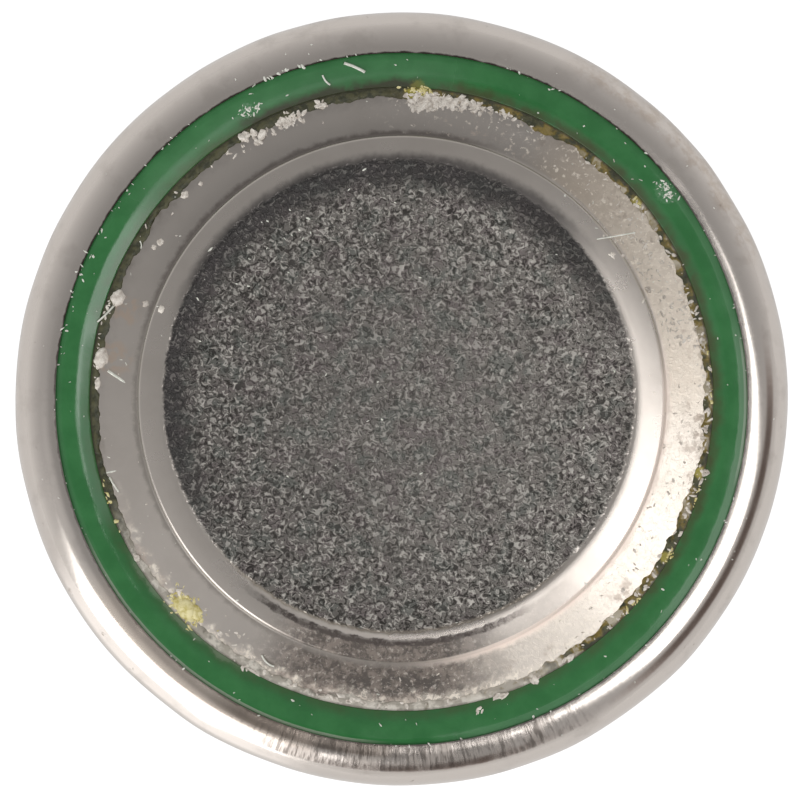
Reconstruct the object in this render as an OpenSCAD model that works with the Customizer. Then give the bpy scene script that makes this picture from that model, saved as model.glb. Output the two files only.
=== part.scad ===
// Button cell battery, size 44: a crimped can, a sealing gasket, a stepped cap
// and the layers sealed between them. Millimetres. The axis is Z, the can's flat
// base (positive) stands on Z = 0 and the cap (negative) looks up.
// Every piece is a revolved section, and neighbours share their faces.

/* [Cell] */
// Outside diameter of the can
cell_d = 11.6; // [11:0.1:12.4]
// Height from the can's base to the lip round the cap's contact disc
cell_h = 5.4; // [5.2:0.1:6.4]

/* [Can] */
// Sheet thickness of the can
can_sheet = 0.2; // [0.15:0.01:0.25]
// Outside radius between the can's base and its wall
can_corner_r = 0.5; // [0.3:0.05:0.8]
// Width of the crimped rim, measured inwards from the can's outside
crimp_w = 0.62; // [0.6:0.01:0.7]
// Outside radius of the crimp's bend
crimp_r = 0.58; // [0.45:0.01:0.59]
// Rounding of the crimped rim's sheared edge
rim_edge_r = 0.04; // [0.02:0.01:0.06]

/* [Cap] */
// Sheet thickness of the cap
cap_sheet = 0.2; // [0.15:0.01:0.22]
// Height of the cap's lip above the crimped rim
cap_proud = 0.4; // [0.36:0.01:0.46]
// Diameter of the stippled contact disc
contact_d = 7; // [6.6:0.1:7.1]
// Depth of the stippled disc below its lip
coin_depth = 0.03; // [0.02:0.01:0.06]
// Width of the slope that the coining leaves round the disc
coin_slope_w = 0.18; // [0.1:0.01:0.3]
// Width of the plain lip round the contact disc
lip_w = 0.11; // [0.09:0.01:0.14]
// Radius where the lip runs into the bevel
lip_round_r = 0.3; // [0.25:0.01:0.4]
// Width of the bevel between the lip and the step
bevel_w = 0.32; // [0.28:0.01:0.36]
// Height that the bevel falls from the lip to the step
bevel_fall = 0.055; // [0.04:0.005:0.07]
// Height of the upright step
step_rise = 0.36; // [0.33:0.01:0.38]
// Rounding at the top and at the foot of the step
step_edge_r = 0.05; // [0.03:0.01:0.06]
// Slope of the shoulder below the horizontal, in degrees
shoulder_deg = 9; // [8:0.5:10]
// Outside radius between the shoulder and the skirt
shoulder_r = 0.3; // [0.25:0.01:0.35]
// Straight skirt left between the shoulder's bend and the top of the folded hem
hem_gap = 0.04; // [0.02:0.01:0.7]

/* [Gasket] */
// Thickness of the gasket between the hem and the can
gasket_wall = 0.3; // [0.25:0.01:0.35]
// Thickness of the gasket's foot under the hem
gasket_foot = 0.35; // [0.25:0.01:0.45]
// Thickness of the short leg inside the skirt
gasket_leg_w = 0.25; // [0.2:0.01:0.35]
// Height of that leg above the foot's floor
gasket_leg_h = 0.55; // [0.3:0.05:0.9]
// Reach of the open lip inwards from the crimped rim
gasket_reach = 0.52; // [0.48:0.01:0.55]
// Depth of the lip's crest below the top of the crimp
gasket_sink = 0.05; // [0.03:0.01:0.06]
// Thickness of the lip at its inner edge, above the shoulder
gasket_tip = 0.05; // [0.03:0.01:0.06]
// Width of the dried sealant in the groove between lip and shoulder
bead_w = 0.12; // [0.09:0.01:0.15]

/* [Cathode] */
// Height of the cathode pellet
pellet_h = 2.1; // [1.8:0.05:2.2]
// Sheet thickness of the ring that caps the pellet's edge
ring_sheet = 0.15; // [0.1:0.01:0.2]
// Height of the ring's outer wall
ring_h = 1; // [0.6:0.1:1.4]
// Width of the ring's flange
ring_flange = 1; // [0.8:0.05:1.2]
// Outside radius of the ring's bend
ring_bend_r = 0.25; // [0.2:0.01:0.35]

/* [Separator] */
// Thickness of the barrier film
film_t = 0.12; // [0.08:0.01:0.2]
// Clearance between the film's edge and the can
film_gap = 0.1; // [0.05:0.01:0.2]
// Thickness of the absorbent pad
pad_t = 0.35; // [0.25:0.01:0.5]

/* [Hidden] */
$fn = 96;

// Overlap that keeps two cut or joined outlines from ending on one line
over = 0.1;
// Added to each rounding's radius, so that its arc crosses the sides and doesn't graze them
graze = 0.00002;

// Can, from the outside inwards
can_r = cell_d / 2;
can_bore_r = can_r - can_sheet;
rim_r = can_r - crimp_w;
rim_z = cell_h - cap_proud;
can_face = [
    [0, 0, 0],
    [can_r, 0, can_corner_r],
    [can_r, rim_z, crimp_r],
    [rim_r, rim_z, rim_edge_r]
];

// Layers on the can's floor, from the bottom up
pellet_z = can_sheet + pellet_h;
ring_face = [
    [can_bore_r, pellet_z - ring_h, 0],
    [can_bore_r, pellet_z, ring_bend_r],
    [can_bore_r - ring_flange, pellet_z, 0]
];
film_z = pellet_z + film_t;
pad_z = film_z + pad_t;
hem_z = film_z + gasket_foot;
leg_z = hem_z + gasket_leg_h;

// Cap: the hem bears on the gasket, the skirt stands inside the hem
hem_r = can_bore_r - gasket_wall;
skirt_r = hem_r - cap_sheet;
skirt_bore_r = skirt_r - cap_sheet;
// A little under one sheet, so that the fold keeps a narrow flat
fold_r = 0.9 * cap_sheet;
contact_r = contact_d / 2;
lip_r = contact_r + lip_w;
step_r = lip_r + bevel_w;
step_foot_z = cell_h - bevel_fall - step_rise;
shoulder_bend_h = shoulder_r * tan((90 - shoulder_deg) / 2);
hem_top_z = shoulder_height(skirt_r) - shoulder_bend_h - hem_gap;
cap_face = [
    [skirt_r, shoulder_height(skirt_r), shoulder_r],
    [step_r, step_foot_z, step_edge_r],
    [step_r, step_foot_z + step_rise, step_edge_r],
    [lip_r, cell_h, lip_round_r],
    [0, cell_h, 0]
];
cap_underside = set_back(concat([[skirt_r, hem_z, fold_r]], cap_face), cap_sheet);

// Gasket
mouth_r = rim_r - gasket_reach;
foot_bore_r = skirt_bore_r - gasket_leg_w;
crest_z = rim_z - gasket_sink;

// Height of the shoulder's outer face at a radius
function shoulder_height(r) = step_foot_z - (r - step_r) * tan(shoulder_deg);

// Profiles are lists of corners [radius, height, rounding], walked anticlockwise.
function flat(corner) = [corner[0], corner[1]];
function unit(v) = v / norm(v);
function heading(path, i) = unit(flat(path[i + 1]) - flat(path[i]));
function left_of(v) = [-v[1], v[0]];
function reversed(list) = [for (i = [len(list) - 1:-1:0]) list[i]];

// The same path set back to its left by t: each bend keeps its centre
function set_back(path, t) = [
    for (i = [0:len(path) - 1])
        let (
            last = len(path) - 1,
            before = heading(path, max(i - 1, 0)),
            after = heading(path, min(i, last - 1)),
            shift = left_of(before) + left_of(after),
            place = flat(path[i]) + t * shift / (1 + before * after),
            is_end = i == 0 || i == last,
            turn = cross(before, after),
            rounding = is_end ? path[i][2] : turn > 0 ? path[i][2] - t : path[i][2] + t
        )
        [place[0], place[1], max(rounding, 0)]
];

// Section of a bent sheet: its outer face, then the face behind it
function bent_sheet(face, t) = concat(face, reversed(set_back(face, t)));

// Filled outline through the corners, with a true arc at each rounding
module outline(corners) {
    difference() {
        union() {
            polygon([for (c = corners) flat(c)]);
            roundings(corners, -1);
        }
        roundings(corners, 1);
    }
}

// What the roundings add at hollow corners (side -1) or take off at raised ones (side 1)
module roundings(corners, side) {
    n = len(corners);
    for (i = [0:n - 1])
        let (
            corner = flat(corners[i]),
            r = corners[i][2],
            before = unit(corner - flat(corners[(i + n - 1) % n])),
            after = unit(flat(corners[(i + 1) % n]) - corner),
            turn = cross(before, after)
        )
        if (r > 0 && turn * side > 0)
            let (
                reach = r * (1 - before * after) / abs(turn),
                start = corner - reach * before,
                finish = corner + reach * after,
                centre = start + side * r * left_of(before),
                beyond = corner + (corner - centre) * over,
                kite = [start, beyond, finish, centre]
            )
            difference() {
                polygon(side > 0 ? kite : reversed(kite));
                translate(centre) circle(r + graze);
            }
}

// Upright ring section between two radii and two heights
module band(r_in, r_out, z_low, z_high) {
    translate([r_in, z_low]) square([r_out - r_in, z_high - z_low]);
}

// Space inside the can, with its mouth open upwards
module can_space() {
    outline(concat(set_back(can_face, can_sheet), [[rim_r, cell_h, 0], [0, cell_h, 0]]));
}

// Everything inside the cap's outer face, down to the hem's fold
module cap_bulk() {
    outline(concat([[0, hem_z, 0]], hem_face(), cap_face));
}

// Hem's outer face, from the fold up to the skirt
function hem_face() = [
    [hem_r, hem_z, fold_r],
    [hem_r, hem_top_z, fold_r / 2],
    [skirt_r, hem_top_z, 0]
];

module can_section() {
    outline(bent_sheet(can_face, can_sheet));
}

module cap_section() {
    difference() {
        outline(concat(hem_face(), cap_face, reversed(cap_underside)));
        coining();
    }
}

// What the punch presses out of the contact disc
module coining() {
    polygon([
        [-over, cell_h - coin_depth],
        [contact_r - coin_slope_w, cell_h - coin_depth],
        [contact_r, cell_h],
        [-over, cell_h]
    ]);
}

module pellet_ring_section() {
    outline(bent_sheet(ring_face, ring_sheet));
}

// Pressed into the can and up into its ring, flush with the flange
module cathode_pellet_section() {
    intersection() {
        can_space();
        outline(concat(
            [[0, 0, 0], [can_r, 0, 0], [can_r, pellet_z - ring_h, 0]],
            set_back(ring_face, ring_sheet),
            [[can_bore_r - ring_flange, pellet_z, 0], [0, pellet_z, 0]]
        ));
    }
}

// U-shaped foot round the hem's fold
module gasket_foot_section() {
    difference() {
        band(foot_bore_r, can_bore_r, film_z, leg_z);
        cap_section();
    }
}

// Wall along the can, squeezed under the crimp and open to view inside the rim
module gasket_wall_section() {
    wall_z = hem_z + gasket_leg_h / 2;
    difference() {
        intersection() {
            can_space();
            outline([
                [mouth_r, wall_z, 0],
                [can_r, wall_z, 0],
                [can_r, rim_z - can_sheet / 2, 0],
                [rim_r + gasket_sink, rim_z - can_sheet / 2, 0],
                [rim_r - gasket_sink, crest_z, gasket_sink],
                [rim_r - gasket_reach / 2, crest_z + gasket_sink / 2, gasket_reach],
                [mouth_r, shoulder_height(mouth_r) + gasket_tip, gasket_tip / 2]
            ]);
        }
        cap_bulk();
    }
}

module gasket_section() {
    gasket_foot_section();
    gasket_wall_section();
}

module can() {
    color("silver") rotate_extrude() can_section();
}

module cap() {
    color("gainsboro") rotate_extrude() cap_section();
}

module gasket() {
    color("seagreen") rotate_extrude() gasket_section();
}

// Wedge in the groove, from the shoulder up to just under the lip's edge
module sealant_bead() {
    toe_r = mouth_r - bead_w;
    bead_t = gasket_tip / 2;
    color("darkolivegreen") rotate_extrude()
        difference() {
            outline([
                [toe_r, hem_z, 0],
                [mouth_r, hem_z, 0],
                [mouth_r, shoulder_height(mouth_r) + bead_t, 0],
                [toe_r + bead_t, shoulder_height(toe_r) + bead_t, bead_t / 2],
                [toe_r, shoulder_height(toe_r), 0]
            ]);
            cap_bulk();
        }
}

module cathode_pellet() {
    color("dimgray") rotate_extrude() cathode_pellet_section();
}

module pellet_ring() {
    color("lightsteelblue") rotate_extrude() pellet_ring_section();
}

module barrier_film() {
    color("wheat") translate([0, 0, pellet_z]) cylinder(r = can_bore_r - film_gap, h = film_t);
}

module absorbent_pad() {
    color("ivory") translate([0, 0, film_z]) cylinder(r = foot_bore_r, h = pad_t);
}

// Fills the cap above the gasket's leg, and the well inside the leg
module anode_gel() {
    color("slategray") rotate_extrude() {
        band(0, foot_bore_r, pad_z, leg_z);
        intersection() {
            outline(concat([[0, hem_z, 0]], cap_underside));
            band(0, skirt_r, leg_z, cell_h);
        }
    }
}

can();
cap();
gasket();
sealant_bead();
cathode_pellet();
pellet_ring();
barrier_film();
absorbent_pad();
anode_gel();
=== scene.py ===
import math
import random

import bmesh
import bpy
from mathutils import Matrix, Vector, noise
from mathutils.bvhtree import BVHTree


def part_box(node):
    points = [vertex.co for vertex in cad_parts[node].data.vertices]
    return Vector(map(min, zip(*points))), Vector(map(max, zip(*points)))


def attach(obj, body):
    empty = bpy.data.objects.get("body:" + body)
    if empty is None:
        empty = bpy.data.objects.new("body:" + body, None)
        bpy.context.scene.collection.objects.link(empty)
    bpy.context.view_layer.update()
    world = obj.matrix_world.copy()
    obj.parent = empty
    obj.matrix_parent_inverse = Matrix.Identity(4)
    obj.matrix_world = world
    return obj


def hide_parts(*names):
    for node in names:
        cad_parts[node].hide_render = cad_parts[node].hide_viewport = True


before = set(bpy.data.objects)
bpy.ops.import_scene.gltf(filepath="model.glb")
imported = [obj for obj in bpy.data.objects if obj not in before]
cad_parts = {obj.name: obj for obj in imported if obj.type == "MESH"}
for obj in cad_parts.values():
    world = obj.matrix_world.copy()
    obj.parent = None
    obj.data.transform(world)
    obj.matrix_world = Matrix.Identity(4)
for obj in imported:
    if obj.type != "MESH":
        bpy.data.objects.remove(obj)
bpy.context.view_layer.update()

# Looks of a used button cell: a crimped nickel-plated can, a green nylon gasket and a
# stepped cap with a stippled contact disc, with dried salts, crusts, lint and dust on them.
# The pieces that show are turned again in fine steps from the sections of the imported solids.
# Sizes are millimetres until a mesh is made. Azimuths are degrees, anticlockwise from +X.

MM = 0.001
TURN = 2 * math.pi

# Without a seed, the vector noise starts from the clock and differs from run to run
NOISE_SEED = 1
noise.seed_set(NOISE_SEED)


# ---------------------------------------------------------------- sizes

def node_top(name):
    """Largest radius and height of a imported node, in millimetres."""
    low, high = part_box(name)
    return high.x / MM, high.z / MM


def node_foot(name):
    """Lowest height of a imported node, in millimetres."""
    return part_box(name)[0].z / MM


CAN_R, RIM_Z = node_top("can")
HEM_R, CAP_Z = node_top("cap")
GASKET_R = node_top("gasket")[0]
HEM_Z = node_foot("cap")
FOOT_Z = node_foot("gasket")

SHEET = CAN_R - GASKET_R
CAN_CORNER_R = 0.5
CRIMP_W = 0.62
CRIMP_R = 0.58
RIM_EDGE_R = 0.04
RIM_R = CAN_R - CRIMP_W

CONTACT_R = 3.5
COIN_DEPTH = 0.03
COIN_SLOPE_W = 0.18
LIP_W = 0.08
LIP_ROUND_R = 0.6
BEVEL_W = 0.35
BEVEL_FALL = 0.055
STEP_RISE = 0.36
STEP_EDGE_R = 0.05
SHOULDER_FALL = math.radians(9)
SHOULDER_R = 0.3
HEM_GAP = 0.04
FOLD_R = 0.9 * SHEET
LIP_R = CONTACT_R + LIP_W
STEP_R = LIP_R + BEVEL_W
STEP_FOOT_Z = CAP_Z - BEVEL_FALL - STEP_RISE
SKIRT_R = HEM_R - SHEET

GASKET_LEG_W = 0.25
GASKET_LEG_H = 0.55
GASKET_REACH = 0.52
GASKET_SINK = 0.05
GASKET_TIP = 0.05
MOUTH_R = RIM_R - GASKET_REACH
CREST_FALL_W = 0.19
CREST_Z = RIM_Z - GASKET_SINK

BEAD_W = 0.12
BEAD_TUCK = 0.03
BEAD_CROWN = 0.04

# The stippling's centre lies a little off the cell's axis, as the punch left it
STIPPLE_CENTRE = (-0.045, 0.055, 0)
STIPPLE_R = 3.54


def shoulder_height(r):
    """Height of the cap's shoulder at a radius."""
    return STEP_FOOT_Z - (r - STEP_R) * math.tan(SHOULDER_FALL)


# The hem ends under the rounding between shoulder and skirt
ROUNDING_LEG = SHOULDER_R * math.tan((TURN / 4 - SHOULDER_FALL) / 2)
HEM_TOP_Z = shoulder_height(SKIRT_R) - ROUNDING_LEG - HEM_GAP


# ---------------------------------------------------------------- turned sections

ARC_STEP = math.radians(5)
CAP_ARC_STEP = math.radians(9)
SECTORS = 16
CAN_STEPS = 512
GASKET_STEPS = 384
SEALANT_STEPS = 960
DISC_CELLS = 172
CAP_STEPS = 4 * DISC_CELLS
WELD = 1e-7


def flat(corner):
    return Vector(corner[:2])


def left_of(v):
    return Vector((-v.y, v.x))


def set_back(path, distance):
    """The path of (radius, height, rounding) moved to its left, each bend keeping its centre."""
    last = len(path) - 1
    headings = [(flat(b) - flat(a)).normalized() for a, b in zip(path, path[1:])]
    moved = []
    for i, corner in enumerate(path):
        before, after = headings[max(i - 1, 0)], headings[min(i, last - 1)]
        shift = (left_of(before) + left_of(after)) / (1 + before.dot(after))
        place = flat(corner) + distance * shift
        rounding = corner[2]
        if 0 < i < last:
            rounding += -distance if before.cross(after) > 0 else distance
        moved.append((place.x, place.y, max(rounding, 0)))
    return moved


def turned(path, steps, closed=True, arc_step=ARC_STEP):
    """A mesh turned from a path of (radius, height, rounding), millimetres."""
    bm = bmesh.new()
    wire = [bm.verts.new((r * MM, 0, z * MM)) for r, z, _ in path]
    ends = wire[1:] + wire[:1] if closed else wire[1:]
    for start, end in zip(wire, ends):
        bm.edges.new((start, end))
    for i, (vert, corner) in enumerate(zip(wire, path)):
        rounding = corner[2]
        if not rounding:
            continue
        before = flat(corner) - flat(path[i - 1])
        bend = before.angle(flat(path[(i + 1) % len(path)]) - flat(corner))
        bmesh.ops.bevel(
            bm, geom=[vert], offset=rounding * math.tan(bend / 2) * MM, offset_type="OFFSET",
            segments=max(2, round(bend / arc_step)), profile=0.5, affect="VERTICES",
            clamp_overlap=False, material=-1,
        )
    bmesh.ops.remove_doubles(bm, verts=bm.verts, dist=WELD)
    # one sector is drawn out of the section and then repeated round the axis
    sector = TURN / SECTORS
    draw_out = (sector, steps // SECTORS, False)
    copy_round = (TURN - sector, SECTORS - 1, True)
    for angle, count, repeat in (draw_out, copy_round):
        bmesh.ops.spin(
            bm, geom=bm.verts[:] + bm.edges[:] + bm.faces[:], cent=(0, 0, 0), axis=(0, 0, 1),
            dvec=(0, 0, 0), angle=angle, space=Matrix(), steps=count, use_merge=False,
            use_normal_flip=False, use_duplicate=repeat,
        )
    bmesh.ops.remove_doubles(bm, verts=bm.verts, dist=WELD)
    return bm


def finished(name, bm, finish, stands_for=None, sharp_deg=35):
    """The mesh as a piece of the object, smooth apart from edges sharper than sharp_deg."""
    bmesh.ops.recalc_face_normals(bm, faces=bm.faces)
    mesh = bpy.data.meshes.new(name)
    bm.to_mesh(mesh)
    bm.free()
    mesh.shade_smooth()
    mesh.set_sharp_from_angle(angle=math.radians(sharp_deg))
    mesh.materials.append(finish)
    piece = bpy.data.objects.new(name, mesh)
    bpy.context.scene.collection.objects.link(piece)
    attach(piece, "root")
    if stands_for:
        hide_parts(stands_for)
    return piece


def uneven(bm, amount, grain, inside, seed=0):
    """Moves the vertices that pass the test by smooth noise, amount and grain in millimetres."""
    offset = Vector((seed, seed, seed))
    for vert in bm.verts:
        co = vert.co / MM
        if inside(co):
            vert.co += noise.noise_vector(co / grain + offset) * amount * MM


# ---------------------------------------------------------------- finishes

# Where a Mix node keeps its factor, its two colours and its colour result
MIX_FACTOR, MIX_UNDER, MIX_OVER = 0, 6, 7
MIX_RESULT = 2


class Wire:
    """A socket in a node tree, worked on with Python's operators."""

    def __init__(self, graph, socket):
        self.graph = graph
        self.socket = socket

    def math(self, operation, *others):
        return self.graph.node("ShaderNodeMath", {"operation": operation}, (self, *others))

    def __add__(self, other):
        return self.math("ADD", other)

    def __sub__(self, other):
        return self.math("SUBTRACT", other)

    def __rsub__(self, other):
        return self.graph.node("ShaderNodeMath", {"operation": "SUBTRACT"}, (other, self))

    def __mul__(self, other):
        return self.math("MULTIPLY", other)

    def __pow__(self, other):
        return self.math("POWER", other)

    __radd__ = __add__
    __rmul__ = __mul__


class Graph:
    """A node tree and the few kinds of sum the finishes and the studio are made of."""

    def __init__(self, tree):
        self.tree = tree

    def node(self, kind, settings=None, values=(), output=0, **named):
        """Adds a node: its settings first, then its sockets by order or name. Returns an output."""
        made = self.tree.nodes.new(kind)
        for key, value in (settings or {}).items():
            setattr(made, key, value)
        ordered = values.items() if isinstance(values, dict) else enumerate(values)
        for key, value in [*ordered, *named.items()]:
            self.plug(made.inputs[key if isinstance(key, int) else key.replace("_", " ")], value)
        return Wire(self, made.outputs[output]) if output is not None else made

    def plug(self, socket, value):
        if isinstance(value, Wire):
            self.tree.links.new(value.socket, socket)
        elif value is not None:
            socket.default_value = value

    def vector(self, operation, *values, output=0, **named):
        return self.node("ShaderNodeVectorMath", {"operation": operation}, values, output, **named)

    def axes(self, vector):
        return [self.node("ShaderNodeSeparateXYZ", {}, (vector,), axis) for axis in "XYZ"]

    def step(self, value, low, high):
        """0 below low, 1 above high and smooth between."""
        return self.node(
            "ShaderNodeMapRange", {"interpolation_type": "SMOOTHSTEP"}, (value, low, high, 0, 1)
        )

    def between(self, value, low, high, soft):
        """1 from low to high and smooth to 0 past both."""
        return self.step(value, low - soft, low) * (1 - self.step(value, high, high + soft))

    def arc(self, azimuth_deg, half_deg, soft_deg):
        """1 over an arc of the ring and smooth to 0 past its ends."""
        near = (self.azimuth - math.radians(azimuth_deg)).math("COSINE")
        low, high = (math.cos(math.radians(reach)) for reach in (half_deg + soft_deg, half_deg))
        return self.step(near, low, high)

    def blend(self, mask, under, over):
        """One colour over another, through the mask."""
        under, over = (c if isinstance(c, Wire) else (*c, 1) for c in (under, over))
        sockets = {MIX_FACTOR: mask, MIX_UNDER: under, MIX_OVER: over}
        return self.node("ShaderNodeMix", {"data_type": "RGBA"}, sockets, MIX_RESULT)


class Finish(Graph):
    """A material of the object: a node tree round one Principled shader."""

    def __init__(self, name, **constants):
        self.material = bpy.data.materials.new(name)
        self.material.use_nodes = True
        super().__init__(self.material.node_tree)
        self.shader = self.tree.nodes["Principled BSDF"]
        self.feed(**constants)
        coords = self.node("ShaderNodeTexCoord", output="Object")
        self.place = self.vector("SCALE", coords, Scale=1 / MM)
        self.x, self.y, self.z = self.axes(self.place)
        self.radius = (self.x * self.x + self.y * self.y) ** 0.5
        self.azimuth = self.y.math("ARCTAN2", self.x)

    def away(self, centre):
        """Distance in plan from a place."""
        level = self.vector("MULTIPLY", self.place, (1, 1, 0))
        return self.vector("DISTANCE", level, centre, output="Value")

    def spot(self, azimuth_deg, radius, size, ragged):
        """1 inside a ragged patch round a place on the ring."""
        angle = math.radians(azimuth_deg)
        centre = (radius * math.cos(angle), radius * math.sin(angle), 0)
        return 1 - self.step(self.away(centre) + (ragged - 0.5) * size, size * 0.6, size * 1.1)

    def grain(self, per_mm, detail, rough=0.5, distortion=0, coords=None):
        """Noise of so many features to the millimetre."""
        return self.node(
            "ShaderNodeTexNoise", Vector=coords or self.place, Scale=per_mm, Detail=detail,
            Roughness=rough, Distortion=distortion,
        )

    def scratched(self, heading_deg, length, width):
        """Straight fine scratches along one heading."""
        drawn = self.node(
            "ShaderNodeMapping", {"vector_type": "TEXTURE"}, Vector=self.place,
            Rotation=(0, 0, math.radians(heading_deg)), Scale=(length, width, 1),
        )
        return self.step(self.grain(1, 2, coords=drawn), 0.64, 0.7)

    def polar(self, across, along):
        """Coordinates that run round the ring and along its radius."""
        return self.node(
            "ShaderNodeCombineXYZ", {}, (self.azimuth * across, self.radius * along, self.z * along)
        )

    def bump(self, height, depth_mm, below=None):
        """A bump of that height, on top of another."""
        return self.node(
            "ShaderNodeBump", Height=height, Distance=depth_mm * MM, Strength=1, Normal=below
        )

    def feed(self, **sockets):
        """Links or sets the Principled shader's sockets, and returns the material."""
        for name, value in sockets.items():
            self.plug(self.shader.inputs[name.replace("_", " ")], value)
        return self.material


NICKEL = (0.70, 0.64, 0.59)
NICKEL_WORN = (0.57, 0.52, 0.475)
NICKEL_DULL = (0.44, 0.395, 0.355)
GRIME = (0.05, 0.038, 0.03)
SALT = (1, 0.91, 0.79)


def can_finish():
    """Bright nickel with draw lines up the wall and burnished streaks over the crimp."""
    f = Finish("can_nickel", Metallic=1)
    clouds = f.grain(1.6, 4, 0.6)
    fine = f.grain(26, 3, 0.6)
    lines = f.grain(1, 2, 0.6, coords=f.polar(60, 0.4))
    streaks = f.grain(1, 3, 0.65, coords=f.polar(75, 2.2))
    stains = f.step(clouds, 0.5, 0.7)
    on_rim = f.step(f.z, RIM_Z - 0.3, RIM_Z - 0.2)
    on_edge = f.step(f.radius, CAN_R - 0.35, CAN_R - 0.2)

    # crimp: burnished and smudged before the cell, tanned on the left, painted shade in the gap
    # along the gasket
    burnished = f.arc(-88, 20, 12) * f.between(f.radius, RIM_R + 0.02, RIM_R + 0.38, 0.04)
    burnished = burnished * f.step(clouds, 0.3, 0.6) * on_rim
    dark_streaks = burnished * f.step(streaks, 0.46, 0.6)
    smudges = f.arc(-106, 9, 9) * f.between(f.radius, RIM_R + 0.02, RIM_R + 0.15, 0.05) * on_rim
    tanned = f.arc(-127, 14, 12) * f.between(f.radius, RIM_R - 0.03, RIM_R + 0.24, 0.06) * on_rim
    gap_shade = (1 - f.step(f.radius + (f.grain(7, 3) - 0.5) * 0.06, RIM_R, RIM_R + 0.025)) * on_rim

    # edge: specks all round, and stains on the right that end a little way down the wall
    specks = f.step(f.grain(5, 4, 0.7), 0.66, 0.72) * on_edge
    edge_stains = f.arc(42, 14, 10) * on_edge * f.step(f.grain(3, 4, 0.7), 0.42, 0.6)
    edge_stains = edge_stains * f.step(f.z, RIM_Z - 1.1, RIM_Z - 0.5)

    # base: dirt in the plus sign, and fine scratches
    stamped = f.between(f.z, PLUS_DEPTH / 3, PLUS_DEPTH * 1.05, PLUS_DEPTH / 4)
    stamped = stamped * (1 - f.step(f.radius, BASE_FIELD_R - 0.3, BASE_FIELD_R - 0.2))
    scratches = f.scratched(25, 1.6, 0.03) + f.scratched(-52, 1.2, 0.025) + f.scratched(80, 2, 0.03)
    scratches = scratches * (1 - f.step(f.z, 0.01, 0.02)) * 0.4

    colour = f.blend(stains * 0.3, NICKEL, NICKEL_DULL)
    colour = f.blend(tanned * 0.55, colour, (0.92, 0.78, 0.66))
    colour = f.blend(smudges * 0.6, colour, (0.28, 0.215, 0.17))
    colour = f.blend(burnished * 0.35, colour, (0.3, 0.25, 0.22))
    colour = f.blend(dark_streaks * 0.6, colour, GRIME)
    colour = f.blend(specks * 0.5, colour, (0.22, 0.17, 0.13))
    colour = f.blend(edge_stains * 0.5, colour, (0.5, 0.41, 0.33))
    colour = f.blend(stamped * (0.35 + fine * 0.4), colour, (0.2, 0.165, 0.135))
    colour = f.blend(scratches, colour, NICKEL_DULL)
    # painted shade in the gap between crimp and gasket, darker behind
    colour = f.blend(gap_shade * (0.55 + f.arc(105, 60, 20) * 0.4), colour, GRIME)
    rough = 0.1 + clouds * 0.08 + fine * 0.04 + stains * 0.06 + burnished * 0.12 + stamped * 0.25
    bumps = f.bump(lines, 0.0005)
    bumps = f.bump(streaks * burnished, 0.004, bumps)
    bumps = f.bump(fine, 0.0003, bumps)
    return f.feed(Base_Color=colour, Roughness=rough, Normal=bumps)


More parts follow.
